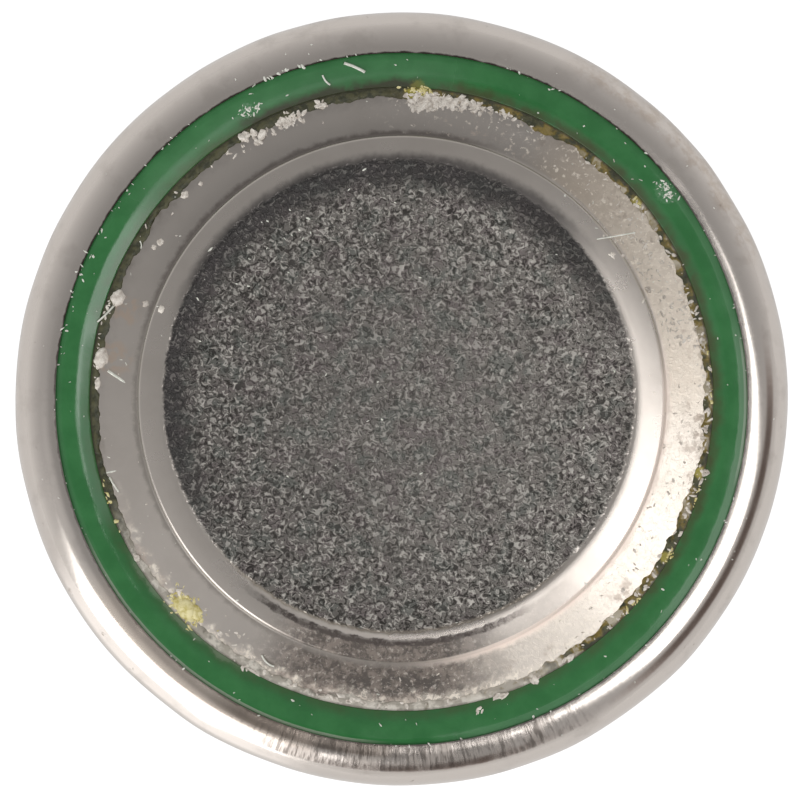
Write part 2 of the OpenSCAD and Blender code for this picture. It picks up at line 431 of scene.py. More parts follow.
def cap_finish():
    """Satin nickel with a stippled disc and a shoulder frosted by dried electrolyte, with painted
    highlights and painted shade.
    """
    f = Finish("cap_nickel", Metallic=1)
    fine = f.grain(45, 3, 0.65)
    clouds = f.grain(1.3, 4, 0.6)
    patches = f.grain(2.6, 3, 0.6)
    ragged = f.grain(8, 3, 0.6) - 0.5

    # stippled disc: curling ridges painted light as painted highlights and pits painted dark as
    # painted shade, darker along its upper left edge
    from_centre = f.away(STIPPLE_CENTRE) + ragged * 0.09
    stippled = 1 - f.step(from_centre, STIPPLE_R - 0.06, STIPPLE_R)
    # darker along the upper left edge of the disc
    upper_left_dark = f.arc(115, 72, 40) * f.step(from_centre + (patches - 0.5) * 0.6, 2.98, 3.34)
    worms = f.grain(14, 1.5, 0.6, 1)
    ridges_lit, pits_shaded = f.step(worms, 0.52, 0.62), 1 - f.step(worms, 0.36, 0.46)
    depth = 0.4 + f.step(patches, 0.36, 0.6) * 0.25 + f.step(f.radius, 0.8, 3.2) * 0.35
    depth = depth * (1 - upper_left_dark * 0.6)
    disc = f.blend(patches + f.x * 0.1, (0.138, 0.129, 0.12), (0.27, 0.25, 0.228))
    tints = f.grain(3, 2, coords=f.vector("ADD", f.place, (5, 5, 5)))
    disc = f.blend(f.step(tints, 0.52, 0.64) * 0.5, disc, (0.15, 0.165, 0.15))
    disc = f.blend((1 - f.step(tints, 0.36, 0.48)) * 0.5, disc, (0.185, 0.155, 0.155))
    # painted highlight on the ridges and painted shade in the pits
    disc = f.blend(ridges_lit * depth * 0.85, disc, (0.53, 0.5, 0.46))
    disc = f.blend(pits_shaded * depth * 0.85, disc, (0.032, 0.029, 0.027))
    disc = f.blend(upper_left_dark * (0.88 - ridges_lit * 0.25), disc, (0.048, 0.045, 0.045))

    # lip and shoulder: plain metal, with painted shade behind the disc, the step and along the
    # gasket
    on_shoulder = f.step(f.radius, STEP_R + 0.02, STEP_R + 0.08)
    off_disc = f.step(f.radius, LIP_R, LIP_R + 0.06)
    off_lip = f.step(f.radius, LIP_R + 0.1, LIP_R + 0.18)
    lip_shade = 1 - f.step(f.radius + ragged * 0.1, LIP_R - 0.01, LIP_R + 0.16)
    step_shade = on_shoulder * (1 - f.step(f.radius, STEP_R + 0.05, STEP_R + 0.41) * 0.6)
    gasket_side_shade = f.step(f.radius + ragged * 0.3, MOUTH_R - 0.32, MOUTH_R - 0.1)
    shade_behind = f.arc(98, 44, 24) * lip_shade * 0.9
    shade_behind = shade_behind + f.arc(85, 48, 36) * step_shade * 0.3 + f.arc(100, 60, 40) * gasket_side_shade * 0.16
    metal = f.blend(f.step(clouds, 0.42, 0.7) * 0.3, NICKEL_WORN, NICKEL_DULL)
    # painted shade on the far side, next to the lip, the step and the gasket
    metal = f.blend(shade_behind, metal, (0.13, 0.12, 0.115))

    # film: brown-grey with pale specks before the cell, dirt in the lip's foot, brown on the left
    film = (f.arc(-95, 13, 17) + f.arc(-60, 7, 9) * 0.2) * off_disc
    mottled = f.step(f.grain(7, 5, 0.75, 0.4), 0.4, 0.6)
    blots = f.arc(-91, 7, 4) * f.between(f.radius, 4.2, 4.6, 0.1) * f.step(ragged, -0.1, 0.04)
    specks = f.step(f.grain(17, 3, 0.6, 0.2), 0.55, 0.64) * (0.4 + mottled * 0.6)
    lip_foot = f.between(f.radius + ragged * 0.1, LIP_R + 0.02, LIP_R + 0.09, 0.03)
    lip_foot = lip_foot * f.arc(-94, 25, 14)
    fringe = f.arc(-92, 34, 20) * (1 - f.step(from_centre, STIPPLE_R - 0.01, STIPPLE_R + 0.04))
    filmed = f.blend(mottled, (0.05, 0.037, 0.03), (0.205, 0.168, 0.142))
    filmed = f.blend(blots * 0.9, filmed, (0.03, 0.023, 0.018))
    filmed = f.blend(specks * 0.7, filmed, (0.5, 0.45, 0.4))
    metal = f.blend(film * 0.88, metal, filmed)
    browned = f.spot(162, 4.32, 0.26, patches) + f.spot(172, 4.33, 0.3, patches)
    metal = f.blend(browned * f.step(f.grain(7, 3), 0.42, 0.6) * 0.65, metal, (0.62, 0.49, 0.39))
    metal = f.blend(fringe * 0.6, metal, (0.21, 0.17, 0.12))
    metal = f.blend(f.arc(28, 20, 18) * on_shoulder * 0.45, metal, (0.68, 0.55, 0.41))
    metal = f.blend(lip_foot * (0.4 + mottled * 0.5), metal, (0.045, 0.034, 0.032))

    # step: painted shade in its foot, darker behind, a painted pale tan highlight on the right,
    # little at the upper right
    tan_lit_side = f.arc(-14, 50, 30)
    foot_shade = f.step(f.radius + tan_lit_side * 0.035, STEP_R - 0.012, STEP_R + 0.008)
    foot_shade = foot_shade * (1 - f.step(f.radius + ragged * 0.12, STEP_R + 0.04, STEP_R + 0.13))
    foot_shade = foot_shade * (1 - f.arc(40, 22, 18) * 0.85) * (0.8 + f.arc(-20, 44, 20) * 0.2)
    foot_shade_tone = f.blend(f.arc(108, 42, 22), (0.25, 0.225, 0.2), (0.12, 0.1, 0.088))
    foot_shade_tone = f.blend(tan_lit_side, foot_shade_tone, (0.98, 0.84, 0.75))
    # painted shade in the step's foot, and a painted highlight along it on the lit right side
    metal = f.blend(foot_shade, metal, foot_shade_tone)

    # salts: frost on the right, painted whiter there as a painted highlight, scattered crystals at
    # the upper right, crust along the gasket
    crystals = f.step(f.grain(9, 4, 0.68, 0.8), 0.47, 0.56)
    frosted = f.arc(-13, 38, 34) * (0.32 + crystals * 0.16)
    scattered = f.arc(22, 50, 30) * f.step(f.grain(13, 3, 0.65, 0.3), 0.57, 0.66) * 0.7
    crust_edge = f.radius + ragged * 0.3 + (patches - 0.5) * 0.3
    crust = f.arc(-108, 36, 25) * (0.35 + crystals * 0.5) + f.arc(0, 45, 30) * crystals * 0.15
    crust = crust * f.step(crust_edge, MOUTH_R - 0.3, MOUTH_R - 0.16)
    salts = on_shoulder * (1 - (1 - frosted) * (1 - scattered) * (1 - crust))
    # salt colour, whiter on the lit right side as a painted highlight
    whiter_lit_right = f.step(f.grain(4, 3), 0.4, 0.62) + f.arc(-13, 50, 30)
    metal = f.blend(salts, metal, f.blend(whiter_lit_right, (0.5, 0.42, 0.36), SALT))

    # stains in the frost on the right, and grime along the gasket
    stains = f.step(patches, 0.56, 0.64) * f.step(f.radius, 4.1, 4.4) * f.step(ragged, -0.05, 0.05)
    metal = f.blend(f.arc(-5, 50, 30) * on_shoulder * stains * 0.6, metal, (0.34, 0.27, 0.22))
    greyed = f.spot(-8, 4.47, 0.32, patches) * f.step(f.grain(8, 4, 0.7), 0.42, 0.56)
    metal = f.blend(greyed * on_shoulder * 0.7, metal, (0.4, 0.34, 0.29))
    grimy = f.step(crust_edge, MOUTH_R - 0.16, MOUTH_R - 0.04) * f.step(clouds, 0.35, 0.6)
    grimy = grimy * (0.25 + f.arc(35, 45, 30) * 0.3)
    metal = f.blend(grimy, metal, (0.13, 0.1, 0.055))
    colour = f.blend(stippled, metal, disc)

    rough = 0.24 + clouds * 0.08 + on_shoulder * 0.02 + salts * 0.04 + film * 0.15
    rough = rough * (1 - stippled) + stippled * 0.38
    metallic = (1 - salts * 0.85) * (1 - film * 0.55) * (1 - foot_shade * 0.85)
    bumps = f.bump((ridges_lit - pits_shaded) * stippled * depth, 0.02)
    bumps = f.bump(crystals * on_shoulder * f.arc(0, 75, 30), 0.0005, bumps)
    coarse = f.grain(16, 3, 0.6, 0.8) * off_lip * (0.05 + film * 0.45 + salts * 0.12)
    bumps = f.bump(coarse, 0.008, bumps)
    bumps = f.bump(fine, 0.0008, bumps)
    return f.feed(Base_Color=colour, Roughness=rough, Metallic=metallic, Normal=bumps)


def gasket_finish():
    """Green moulded nylon, stained and filmed over where it meets the cap, with painted highlights
    on its lip.
    """
    f = Finish("green_nylon", IOR=1.52, Specular_IOR_Level=0.6)
    clouds = f.grain(2.2, 4, 0.6)
    fine = f.grain(30, 3, 0.6)
    ragged = (f.grain(4, 3, 0.6) - 0.5) * 0.2

    # mouth: brown stains, a yellow spot behind, a pale film, and on the left a pale haze that is
    # partly a painted highlight
    near_cap = 1 - f.step(f.radius + ragged, MOUTH_R + 0.02, MOUTH_R + 0.2)
    stained = near_cap * f.step(clouds, 0.25, 0.55)
    stained = stained * (0.4 + f.arc(40, 70, 30) * 0.35 + f.arc(103, 12, 8) * 0.45)
    stain = f.blend(f.arc(103, 14, 10), (0.058, 0.045, 0.012), (0.034, 0.04, 0.014))
    filmed = (1 - f.step(f.radius + ragged, MOUTH_R, MOUTH_R + 0.1)) * f.arc(-135, 9, 9)
    haze_and_highlight = f.between(f.radius + ragged * 0.3, MOUTH_R + 0.04, MOUTH_R + 0.17, 0.03)
    haze_and_highlight = haze_and_highlight * f.arc(-176, 14, 8)

    # crest: dusty at two places, with painted highlights along the can
    dusty = f.spot(38, 5.03, 0.2, fine) + f.spot(118, 4.88, 0.16, fine)
    edge_highlight = f.between(f.radius + ragged * 0.06, RIM_R - 0.055, RIM_R - 0.025, 0.012)
    edge_highlight = edge_highlight * (f.arc(-125, 24, 10) + f.arc(-2, 8, 6))
    outer_band_highlight = f.between(f.radius + ragged * 0.35, RIM_R - 0.13, RIM_R - 0.03, 0.02)
    outer_band_highlight = outer_band_highlight * f.arc(-14, 20, 10)
    dull = f.step(f.radius, RIM_R - 0.15, RIM_R - 0.1) * f.arc(-20, 50, 20)
    dull = dull + f.arc(112, 26, 12) * 0.7

    colour = f.blend(f.step(clouds, 0.3, 0.7), (0.025, 0.158, 0.041), (0.036, 0.19, 0.054))
    colour = f.blend(stained, colour, stain)
    colour = f.blend(f.spot(87, 4.66, 0.13, fine) * 0.45, colour, (0.3, 0.27, 0.03))
    colour = f.blend(filmed * 0.35, colour, (0.36, 0.39, 0.3))
    colour = f.blend(dusty * f.step(fine, 0.48, 0.62) * 0.35, colour, (0.4, 0.55, 0.42))
    # pale haze, partly a painted highlight of the key lamp on the inner slope
    colour = f.blend(haze_and_highlight * 0.5, colour, (0.17, 0.3, 0.19))
    # painted highlights along the gasket's outer edge
    colour = f.blend(edge_highlight * 0.6, colour, (0.42, 0.47, 0.37))
    colour = f.blend(outer_band_highlight * 0.35, colour, (0.19, 0.31, 0.2))
    rough = 0.1 + clouds * 0.08 + dusty * 0.3 + filmed * 0.3 + dull * 0.3
    bumps = f.bump(clouds, 0.004)
    bumps = f.bump(fine, 0.0006, bumps)
    return f.feed(Base_Color=colour, Roughness=rough, Normal=bumps)


def sealant_finish():
    """Dried sealant: dark olive on the left and behind, amber and crusted with salts elsewhere,
    with painted shade along the gasket.
    """
    f = Finish("dried_sealant", IOR=1.5)
    lumps = f.grain(9, 3, 0.6)
    blotches = f.grain(4, 3, 0.6)
    right = f.arc(0, 75, 20)
    covered = f.arc(-108, 40, 14)
    crusted = covered * 0.9 + f.arc(-30, 75, 20) * f.step(blotches, 0.53, 0.6) * 0.6
    mouth_shade = f.step(f.radius, MOUTH_R - 0.035, MOUTH_R - 0.01)
    colour = f.blend(f.step(lumps, 0.35, 0.65), (0.03, 0.032, 0.012), (0.085, 0.082, 0.035))
    colour = f.blend(f.step(blotches, 0.42, 0.56) * right, colour, (0.23, 0.165, 0.03))
    crust = f.blend(f.step(f.grain(6, 3), 0.42, 0.58), (0.46, 0.42, 0.36), (0.74, 0.69, 0.61))
    colour = f.blend(crusted * (0.6 + f.step(lumps, 0.3, 0.5) * 0.4), colour, crust)
    glint_places = ((40, 4.6, 0.09), (-14, 4.6, 0.1), (-31, 4.6, 0.1))
    glints = sum(f.spot(*place, lumps) for place in glint_places)
    colour = f.blend(glints * 0.8, colour, (0.42, 0.36, 0.07))
    colour = f.blend(f.spot(87, 4.61, 0.2, lumps) * 0.8, colour, (0.4, 0.35, 0.03))
    # painted shade in the crevice under the gasket's lip, less where crust covers it
    colour = f.blend(mouth_shade * (0.7 - covered * 0.4), colour, (0.03, 0.028, 0.012))
    bumps = f.bump(lumps, 0.02)
    return f.feed(Base_Color=colour, Roughness=0.3 + lumps * 0.3, Normal=bumps)


def crumb_finish(name, dark, light, rough):
    """Loose crumbs: salts, crust or dust."""
    f = Finish(name, IOR=1.5)
    tone = f.grain(12, 3, 0.6)
    colour = f.blend(f.step(tone, 0.3, 0.65), dark, light)
    return f.feed(Base_Color=colour, Roughness=rough + tone * 0.25, Normal=f.bump(tone, 0.01))


def powder_finish(name, dark, light, per_mm, metallic=0):
    """Pressed or gelled powder: fine grains of two tones."""
    f = Finish(name, Metallic=metallic)
    grains = f.grain(per_mm, 4, 0.7)
    lumps = f.grain(per_mm * 0.4, 2, 0.5, 1)
    colour = f.blend(f.step(grains, 0.35, 0.65), dark, light)
    bumps = f.bump(lumps, 0.02)
    bumps = f.bump(grains, 0.01, bumps)
    return f.feed(Base_Color=colour, Roughness=0.55 + grains * 0.3, Normal=bumps)


def ring_finish():
    """Plain nickel-plated strip with drawing marks."""
    f = Finish("ring_steel_plain", Metallic=1)
    lines = f.grain(1, 3, 0.6, coords=f.polar(50, 1))
    colour = f.blend(lines, NICKEL_DULL, NICKEL)
    return f.feed(Base_Color=colour, Roughness=0.25 + lines * 0.15, Normal=f.bump(lines, 0.001))


def film_finish():
    """Thin cellulose film, yellowish, with a faint crosswise grain."""
    f = Finish("cellulose", IOR=1.47)
    grain = f.grain(8, 4, 0.6)
    colour = f.blend(grain, (0.74, 0.66, 0.42), (0.88, 0.83, 0.66))
    return f.feed(Base_Color=colour, Roughness=0.3 + grain * 0.2, Normal=f.bump(grain, 0.004))


def felt_finish():
    """Non-woven felt: matted white fibres."""
    f = Finish("white_felt")
    curls = (f.grain(9, 3, distortion=2) - 0.5).math("ABSOLUTE")
    fibres = 1 - f.step(curls, 0.018, 0.06)
    colour = f.blend(fibres, (0.62, 0.60, 0.55), (0.92, 0.91, 0.88))
    return f.feed(Base_Color=colour, Roughness=0.8 + fibres * 0.15, Normal=f.bump(fibres, 0.02))


# ---------------------------------------------------------------- can

PLUS_ARM = 1.1
PLUS_HALF_W = 0.22
PLUS_DEPTH = 0.06
BASE_FIELD_R = 2.2


def plus_sign(bm):
    """Closes the base round a sunk plus sign, the plain mark of the positive side."""
    field = [e for e in bm.edges if e.is_boundary and e.verts[0].co.z < WELD]
    a, w = PLUS_ARM, PLUS_HALF_W
    corner = [(a, -w), (a, w), (w, w)]
    mark = []
    for quarter in range(4):
        turn = Matrix.Rotation(quarter * TURN / 4, 2)
        for point in corner:
            mark.append(bm.verts.new((*(turn @ Vector(point)) * MM, 0)))
    outline = [bm.edges.new((v, mark[(i + 1) % len(mark)])) for i, v in enumerate(mark)]
    bmesh.ops.triangle_fill(bm, use_beauty=True, use_dissolve=False, edges=field + outline)
    wall = bmesh.ops.extrude_edge_only(bm, edges=outline)["geom"]
    sunk = [g for g in wall if isinstance(g, bmesh.types.BMVert)]
    bmesh.ops.translate(bm, vec=(0, 0, PLUS_DEPTH * MM), verts=sunk)
    edges = [g for g in wall if isinstance(g, bmesh.types.BMEdge)]
    floor = [e for e in edges if all(v in sunk for v in e.verts)]
    bottom = bmesh.ops.contextual_create(bm, geom=floor)["faces"]
    bmesh.ops.inset_region(
        bm, faces=bottom, thickness=PLUS_DEPTH / 2 * MM, depth=0, use_even_offset=True,
    )


def can_piece():
    """The drawn can, its rim curled in over the gasket."""
    face = [
        (0, 0, 0),
        (CAN_R, 0, CAN_CORNER_R),
        (CAN_R, RIM_Z, CRIMP_R),
        (RIM_R, RIM_Z, RIM_EDGE_R),
    ]
    inside = set_back(face, SHEET)
    face[0] = (BASE_FIELD_R, 0, 0)
    bm = turned(face + inside[::-1], CAN_STEPS, closed=False)
    plus_sign(bm)
    uneven(
        bm, amount=0.002, grain=0.5,
        inside=lambda co: co.z > RIM_Z - 0.1 and co.xy.length < RIM_R + 0.1,
    )
    uneven(
        bm, amount=0.014, grain=0.9,
        inside=lambda co: 1 < co.z < RIM_Z and co.xy.length > CAN_R - 0.15, seed=5,
    )
    return finished("can_shell", bm, can_finish(), "can")


# ---------------------------------------------------------------- cap

STIPPLE_DEPTH = 0.0035
STIPPLE_GRAIN = 0.085
STIPPLE_FADE = 0.03


def disc_point(a, b):
    """A point of the square from -1 to 1 carried to the unit disc, at even density."""
    if a == 0 and b == 0:
        return Vector((0, 0))
    if abs(a) > abs(b):
        reach, angle = a, math.pi / 4 * b / a
    else:
        reach, angle = b, math.pi / 2 - math.pi / 4 * a / b
    return Vector((reach * math.cos(angle), reach * math.sin(angle)))


def stipple(place):
    """Height of the stippling, from -1 to 1."""
    warped = place / STIPPLE_GRAIN + 0.6 * noise.noise_vector(place / STIPPLE_GRAIN)
    return 0.7 * noise.noise(warped) + 0.4 * noise.noise(warped * 1.9)


def stippled_disc(bm, radius, level):
    """The middle of the cap, a fine grid drawn out to a disc that meets the turned ring."""
    made = bmesh.ops.create_grid(bm, x_segments=DISC_CELLS, y_segments=DISC_CELLS, size=1)
    for vert in made["verts"]:
        spread = disc_point(vert.co.x, vert.co.y)
        fade = min(1, (1 - spread.length) / STIPPLE_FADE)
        place = Vector((*spread * radius, 0))
        vert.co = (place + Vector((0, 0, level + stipple(place) * STIPPLE_DEPTH * fade))) * MM


def cap_piece():
    """The stepped cap, its skirt folded back up on itself, with the stippled contact disc."""
    floor_r, floor_z = CONTACT_R - COIN_SLOPE_W, CAP_Z - COIN_DEPTH
    face = [
        (LIP_R, CAP_Z, LIP_ROUND_R),
        (STEP_R, STEP_FOOT_Z + STEP_RISE, STEP_EDGE_R),
        (STEP_R, STEP_FOOT_Z, STEP_EDGE_R),
        (SKIRT_R, shoulder_height(SKIRT_R), SHOULDER_R),
    ]
    outside = [(SKIRT_R, HEM_Z, FOLD_R), *face[::-1], (0, CAP_Z, 0)]
    disc_edge = [(floor_r, floor_z, 0), (CONTACT_R, CAP_Z, 0)]
    hem = [(SKIRT_R, HEM_TOP_Z, 0), (HEM_R, HEM_TOP_Z, FOLD_R / 2), (HEM_R, HEM_Z, FOLD_R)]
    section = disc_edge + face + hem + set_back(outside, SHEET)
    bm = turned(section, CAP_STEPS, closed=False, arc_step=CAP_ARC_STEP)
    stippled_disc(bm, floor_r, floor_z)
    bmesh.ops.remove_doubles(bm, verts=bm.verts, dist=WELD)
    return finished("cap_shell", bm, cap_finish(), "cap")


# ---------------------------------------------------------------- gasket and sealant

# Noise along the bead's inner edge: grains to the millimetre and depth
BEAD_RAGGED = [(2, 0.08), (7, 0.06), (20, 0.025)]


def gasket_piece():
    """The seal: a foot round the cap's hem and an open lip inside the can's rim."""
    leg_r, leg_z = SKIRT_R - SHEET, HEM_Z + GASKET_LEG_H
    bore_r = leg_r - GASKET_LEG_W
    mouth_z = shoulder_height(MOUTH_R)
    section = [
        (bore_r, FOOT_Z, 0),
        (GASKET_R, FOOT_Z, 0),
        (GASKET_R, RIM_Z - SHEET, CRIMP_R - SHEET),
        (RIM_R, RIM_Z - SHEET, RIM_EDGE_R),
        (RIM_R, CREST_Z + GASKET_SINK / 5, GASKET_SINK / 4),
        (RIM_R - 2 * GASKET_SINK, CREST_Z + GASKET_SINK * 0.6, 3 * GASKET_SINK),
        (MOUTH_R + CREST_FALL_W, CREST_Z + GASKET_SINK * 0.6, 2 * CREST_FALL_W),
        (MOUTH_R, mouth_z + GASKET_TIP, GASKET_TIP / 2),
        (MOUTH_R, mouth_z, 0),
        (SKIRT_R, shoulder_height(SKIRT_R), SHOULDER_R),
        (SKIRT_R, HEM_TOP_Z, 0),
        (HEM_R, HEM_TOP_Z, FOLD_R / 2),
        (HEM_R, HEM_Z, FOLD_R),
        (leg_r, HEM_Z, FOLD_R),
        (leg_r, leg_z, 0),
        (bore_r, leg_z, 0),
    ]
    bm = turned(section, GASKET_STEPS)
    uneven(bm, amount=0.006, grain=0.5, inside=lambda co: co.z > CREST_Z - 0.1)
    return finished("gasket_ring", bm, gasket_finish(), "gasket")


def sealant_piece():
    """The bead, uneven on top and ragged along its inner edge."""
    toe_r, mouth_z = MOUTH_R - BEAD_W, shoulder_height(MOUTH_R)
    bm = turned(
        [
            (toe_r, shoulder_height(toe_r) - 0.01, 0),
            (MOUTH_R + BEAD_TUCK, mouth_z - 0.02, 0),
            (MOUTH_R + BEAD_TUCK, mouth_z + 0.03, 0),
            (MOUTH_R - BEAD_W / 2, mouth_z + BEAD_CROWN, 0.03),
            (toe_r + 0.02, shoulder_height(toe_r) + 0.012, 0.01),
        ],
        SEALANT_STEPS,
    )
    for vert in bm.verts:
        co = vert.co / MM
        inward = max(0, (MOUTH_R - co.xy.length) / BEAD_W)
        ragged = sum(noise.noise(co * per_mm) * depth for per_mm, depth in BEAD_RAGGED)
        shift = inward * (ragged - 0.03)
        co.xy *= 1 + shift / co.xy.length
        co.z += noise.noise(co * 9) * 0.012
        vert.co = co * MM
    return finished("sealant_ring", bm, sealant_finish(), "sealant_bead")


# ---------------------------------------------------------------- what lies on it

ALL_ROUND = 180
CRUMB_SHAPES = 16
CRUMB_TILT = 0.4
# A crumb's size against its patch's: most are small, few are large
CRUMB_SHARES = (0.35, 1.1)
CRUMB_SKEW = 1.5
CRUMB_SCALE = 1.4
LINT_STEPS = 12
LINT_SIDES = 7
LUMP_FLATNESS = 0.45
LUMP_GRAIN = 0.35
LUMP_UNEVEN = 0.35


class Ground:
    """The finished pieces as one surface that crystals and lint come down on."""

    def __init__(self, pieces):
        self.trees = []
        for piece in pieces:
            bm = bmesh.new()
            bm.from_mesh(piece.data)
            self.trees.append(BVHTree.FromBMesh(bm))
            bm.free()

    def land(self, azimuth_deg, radius):
        """The highest point at a place given by azimuth and radius."""
        angle = math.radians(azimuth_deg)
        start = Vector((radius * math.cos(angle), radius * math.sin(angle), CAP_Z + 1)) * MM
        hits = [tree.ray_cast(start, Vector((0, 0, -1)))[0] for tree in self.trees]
        return max((hit for hit in hits if hit), key=lambda hit: hit.z)


def crumb_shapes(rng):
    """Angular crumbs of one millimetre, each a little different."""
    shapes = []
    for _ in range(CRUMB_SHAPES):
        bm = bmesh.new()
        bmesh.ops.create_icosphere(bm, subdivisions=1, radius=0.5 * MM)
        long, broad = rng.uniform(1, 1.9), rng.uniform(0.45, 0.9)
        for vert in bm.verts:
            vert.co *= rng.uniform(0.55, 1.3)
        bmesh.ops.scale(bm, vec=(long, broad, 0.5), verts=bm.verts)
        shape = bpy.data.meshes.new("crumb")
        bm.to_mesh(shape)
        bm.free()
        shapes.append(shape)
    return shapes


def strewn(name, ground, patches, finish, seed):
    """Crumbs strewn in patches: (azimuth, spread, radius, spread, count, size)."""
    rng = random.Random(seed)
    shapes = crumb_shapes(rng)
    bm = bmesh.new()
    for azimuth, turn_spread, radius, spread, count, size in patches:
        for _ in range(count):
            if turn_spread < ALL_ROUND:
                where = azimuth + rng.gauss(0, 0.5) * turn_spread
                out = radius + rng.gauss(0, 0.5) * spread
            else:
                where = rng.uniform(0, 360)
                out = radius + rng.uniform(-1, 1) * spread
            share = rng.uniform(*CRUMB_SHARES) ** CRUMB_SKEW * size * CRUMB_SCALE
            tilt = Matrix.Rotation(rng.uniform(-CRUMB_TILT, CRUMB_TILT), 4, "X")
            turn = Matrix.Rotation(rng.uniform(0, TURN), 4, "Z")
            spot = Matrix.Translation(ground.land(where, out))
            bedded = spot @ turn @ tilt @ Matrix.Scale(share, 4)
            shape = rng.choice(shapes)
            shape.transform(bedded)
            bm.from_mesh(shape)
            shape.transform(bedded.inverted())
    for shape in shapes:
        bpy.data.meshes.remove(shape)
    return finished(name, bm, finish, sharp_deg=20)


def lint(ground, fibres, finish):
    """Fibres as thin tubes: (azimuth, radius, heading, length, bend, thickness)."""
    bm = bmesh.new()
    across = Matrix.Rotation(TURN / 4, 4, "Y")
    for azimuth, radius, heading, length, bend, thickness in fibres:
        start = ground.land(azimuth, radius) + Vector((0, 0, thickness * MM / 2))
        course = Matrix.Rotation(math.radians(heading), 4, "Z")
        turn = Matrix.Rotation(math.radians(bend) / LINT_STEPS, 4, "Z")
        ahead = Vector((length * MM / LINT_STEPS, 0, 0))
        tip = bmesh.ops.create_circle(
            bm, cap_ends=True, segments=LINT_SIDES, radius=thickness * MM / 2,
            matrix=Matrix.Translation(start) @ course @ across,
        )["verts"]
        face = tip[0].link_faces[0]
        for _ in range(LINT_STEPS):
            drawn = bmesh.ops.extrude_face_region(bm, geom=[face])["geom"]
            face = next(g for g in drawn if isinstance(g, bmesh.types.BMFace))
            bmesh.ops.translate(bm, vec=course @ ahead, verts=face.verts)
            course = turn @ course
            middle = face.calc_center_median()
            bmesh.ops.rotate(bm, cent=middle, matrix=turn.to_3x3(), verts=face.verts)
    return finished("lint_fibres", bm, finish)


def dried_lumps(name, ground, places, finish, seed):
    """Rounded lumps dried on the surface: (azimuth, radius, width, stretch round the ring)."""
    bm = bmesh.new()
    for number, (azimuth, radius, width, stretch) in enumerate(places):
        made = bmesh.ops.create_icosphere(bm, subdivisions=3, radius=width / 2 * MM)["verts"]
        bmesh.ops.scale(bm, vec=(1, stretch, LUMP_FLATNESS), verts=made)
        for vert in made:
            out = noise.noise(vert.co / (LUMP_GRAIN * width * MM) + Vector((seed, number, 0)))
            vert.co *= 1 + LUMP_UNEVEN * out
        turn = Matrix.Rotation(math.radians(azimuth), 3, "Z")
        bmesh.ops.rotate(bm, cent=(0, 0, 0), matrix=turn, verts=made)
        bmesh.ops.translate(bm, vec=ground.land(azimuth, radius), verts=made)
    return finished(name, bm, finish, sharp_deg=60)


SALTS = [
    (83, 6, 4.48, 0.1, 120, 0.075), (86, 4, 4.44, 0.14, 50, 0.085), (77, 7, 4.53, 0.05, 44, 0.07),
    (85, 5, 4.56, 0.04, 14, 0.08), (71, 4, 4.53, 0.05, 12, 0.07), (120, 1.5, 4.56, 0.05, 12, 0.1),
    (117.5, 2, 4.43, 0.07, 12, 0.09), (112, 2.6, 4.47, 0.09, 70, 0.075),
    (105.5, 1.2, 4.56, 0.04, 14, 0.08), (122, 5, 4.42, 0.12, 12, 0.05),
    (-64.4, 0.8, 4.65, 0.03, 6, 0.13), (-71.6, 0.8, 4.69, 0.03, 6, 0.1),
    (-76.4, 0.7, 4.82, 0.04, 8, 0.08), (-57, 1.4, 4.6, 0.04, 7, 0.11),
    (-14, 1.6, 4.67, 0.06, 12, 0.07), (-139, 0.4, 4.41, 0.02, 3, 0.1),
    (-127, 10, 4.35, 0.22, 22, 0.045), (-119, 3, 4.66, 0.03, 6, 0.08),
    (-100, 16, 4.58, 0.05, 40, 0.06),
    (-8, 34, 4.58, 0.07, 80, 0.055), (35, 20, 4.54, 0.06, 40, 0.05), (-42, 10, 4.6, 0.06, 26, 0.06),
    (28, 44, 4.28, 0.36, 130, 0.035), (-30, 40, 4.3, 0.4, 60, 0.04),
    (162, 24, 4.6, 0.03, 20, 0.045), (0, ALL_ROUND, 4.3, 0.3, 60, 0.03),
    (23.9, 0.5, 4.03, 0.03, 5, 0.1), (34.4, 0.6, 3.79, 0.04, 6, 0.07),
    (32.2, 1.5, 4.29, 0.05, 8, 0.06),
    (16, 7, 4.3, 0.28, 60, 0.05), (38, 5, 3.95, 0.14, 16, 0.045), (27, 8, 4.15, 0.24, 30, 0.045),
]
YELLOW_CRUST = [
    (-135.5, 3.4, 4.47, 0.16, 150, 0.06), (-135.5, 4.4, 4.47, 0.2, 60, 0.03),
    (87, 2.5, 4.62, 0.03, 16, 0.08), (88, 4, 4.66, 0.03, 10, 0.05), (40, 1, 4.6, 0.02, 8, 0.035),
    (3, 5, 4.64, 0.03, 10, 0.04), (-18, 3, 4.64, 0.03, 10, 0.045), (-29, 4, 4.64, 0.03, 12, 0.05),
    (-42, 2.5, 4.63, 0.03, 10, 0.05), (-160, 5, 4.64, 0.03, 10, 0.05),
]
DUST = [
    (0, ALL_ROUND, 4.95, 0.22, 60, 0.03), (0, ALL_ROUND, 5.17, 0.02, 60, 0.03),
    (0, ALL_ROUND, 4.2, 0.35, 50, 0.025),
    (38, 3, 5.03, 0.12, 34, 0.04), (118, 3, 4.88, 0.1, 30, 0.04),
    (0, ALL_ROUND, 5.4, 0.2, 30, 0.022), (135, 45, 3.1, 0.5, 30, 0.035),
    (0, ALL_ROUND, 2, 1.6, 50, 0.025), (160, 20, 5.12, 0.08, 24, 0.035),
    (109, 9, 5.2, 0.02, 14, 0.045),
]
